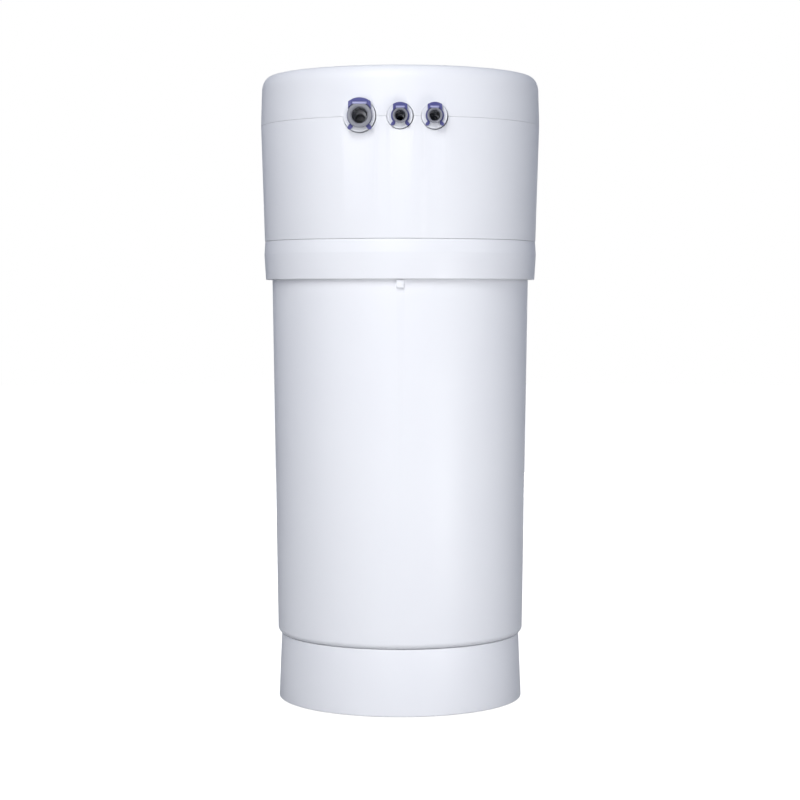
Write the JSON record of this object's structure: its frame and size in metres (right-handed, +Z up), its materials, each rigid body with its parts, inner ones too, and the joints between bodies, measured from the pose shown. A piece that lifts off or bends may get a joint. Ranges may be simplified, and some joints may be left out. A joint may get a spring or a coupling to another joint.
{
  "type": "under sink water filter",
  "caption": "Upright round under-sink water filter with a twist-off head, lift-off cover, push-fit tube ports, locking clips and a carbon cartridge inside.",
  "frame": {"origin": "the housing's axis at the floor plane under the feet", "axes": "+Z up along the housing's axis; the tube ports face -Y; +X is to the viewer's right when facing the ports"},
  "size_m": [0.184, 0.1888, 0.414],
  "materials": {
    "white_plastic": "glossy cool white moulded plastic",
    "port_white": "satin white moulded plastic of the port block",
    "collet_grey": "satin mid grey acetal",
    "clip_violet": "satin violet blue moulded plastic",
    "moulded_plastic": "plain natural moulded plastic, hidden",
    "black_rubber": "matt black rubber",
    "screw_steel": "plain steel",
    "carbon": "pressed black carbon",
    "filter_fleece": "white pleated filter fleece",
    "quartz": "clear polished quartz",
    "circuit_board": "green lacquered circuit board",
    "sink_aluminium": "plain extruded aluminium",
    "turbine_blue": "moulded blue plastic, hidden",
    "socket_black": "satin black moulded plastic"
  },
  "bodies": {
    "vessel": {"base_skirt": "white_plastic", "foot_1": "black_rubber", "foot_2": "black_rubber", "foot_3": "black_rubber", "foot_4": "black_rubber", "base_screw_1": "screw_steel", "base_screw_2": "screw_steel", "base_screw_3": "screw_steel", "base_screw_4": "screw_steel", "lower_shell": "white_plastic", "pressure_vessel": "moulded_plastic"},
    "cartridge": {"cartridge_bottom_cap": "moulded_plastic", "cartridge_top_cap": "moulded_plastic", "carbon_block": "carbon", "prefilter_sleeve": "filter_fleece", "core_tube": "moulded_plastic", "spigot_seal_1": "black_rubber", "spigot_seal_2": "black_rubber"},
    "head": {"head_block": "moulded_plastic", "vessel_seal": "black_rubber", "lock_collar": "white_plastic", "head_screw_1": "screw_steel", "head_screw_2": "screw_steel", "head_screw_3": "screw_steel", "head_screw_4": "screw_steel", "upper_housing": "white_plastic", "port_block": "port_white", "port_block_screw_1": "screw_steel", "port_block_screw_2": "screw_steel", "port_block_screw_3": "screw_steel", "large_port_bush": "port_white", "middle_port_bush": "port_white", "right_port_bush": "port_white", "large_tube_seal": "black_rubber", "middle_tube_seal": "black_rubber", "right_tube_seal": "black_rubber", "lamp_chamber": "moulded_plastic", "lamp_window": "quartz", "lamp_board": "circuit_board", "heat_sink": "sink_aluminium", "heat_sink_screw_1": "screw_steel", "heat_sink_screw_2": "screw_steel", "heat_sink_screw_3": "screw_steel", "flow_sensor_body": "moulded_plastic", "flow_sensor_lid": "moulded_plastic", "turbine_axle": "screw_steel", "control_board": "circuit_board", "power_socket": "socket_black"},
    "cover": {"top_cover": "white_plastic"},
    "turbine": {"flow_turbine": "turbine_blue"},
    "large_collet_body": {"large_collet": "collet_grey"},
    "middle_collet_body": {"middle_collet": "collet_grey"},
    "right_collet_body": {"right_collet": "collet_grey"},
    "large_clip_body": {"large_clip": "clip_violet"},
    "middle_clip_body": {"middle_clip": "clip_violet"},
    "right_clip_body": {"right_clip": "clip_violet"}
  },
  "joints": [
    {"name": "cartridge_rise", "type": "slide", "parent": "vessel", "child": "cartridge", "axis": [0, 0, 1], "range_m": [0, 0.00483]},
    {"name": "head_twist", "type": "hinge", "parent": "cartridge", "child": "head", "pos_m": [0, 0, 0.28], "axis": [0, 0, 1], "range_deg": [0, 58]},
    {"name": "cover_lift", "type": "slide", "parent": "head", "child": "cover", "axis": [0, 0, 1], "range_m": [0, 0.06]},
    {"name": "turbine_spin", "type": "hinge", "parent": "head", "child": "turbine", "pos_m": [-0.0035, -0.0395, 0.3793], "axis": [0, 0, 1], "continuous": true},
    {"name": "large_collet_press", "type": "slide", "parent": "head", "child": "large_collet_body", "axis": [0, 1, 0], "range_m": [0, 0.001]},
    {"name": "middle_collet_press", "type": "slide", "parent": "head", "child": "middle_collet_body", "axis": [0, 1, 0], "range_m": [0, 0.001]},
    {"name": "right_collet_press", "type": "slide", "parent": "head", "child": "right_collet_body", "axis": [0, 1, 0], "range_m": [0, 0.001]},
    {"name": "large_clip_pull", "type": "slide", "parent": "head", "child": "large_clip_body", "axis": [0, 0, 1], "range_m": [0, 0.02]},
    {"name": "middle_clip_pull", "type": "slide", "parent": "head", "child": "middle_clip_body", "axis": [0, 0, 1], "range_m": [0, 0.016]},
    {"name": "right_clip_pull", "type": "slide", "parent": "head", "child": "right_clip_body", "axis": [0, 0, 1], "range_m": [0, 0.016]}
  ],
  "couplings": [
    {"joint": "head_twist", "follows": "cartridge_rise", "rad_per_m": 209.44}
  ]
}
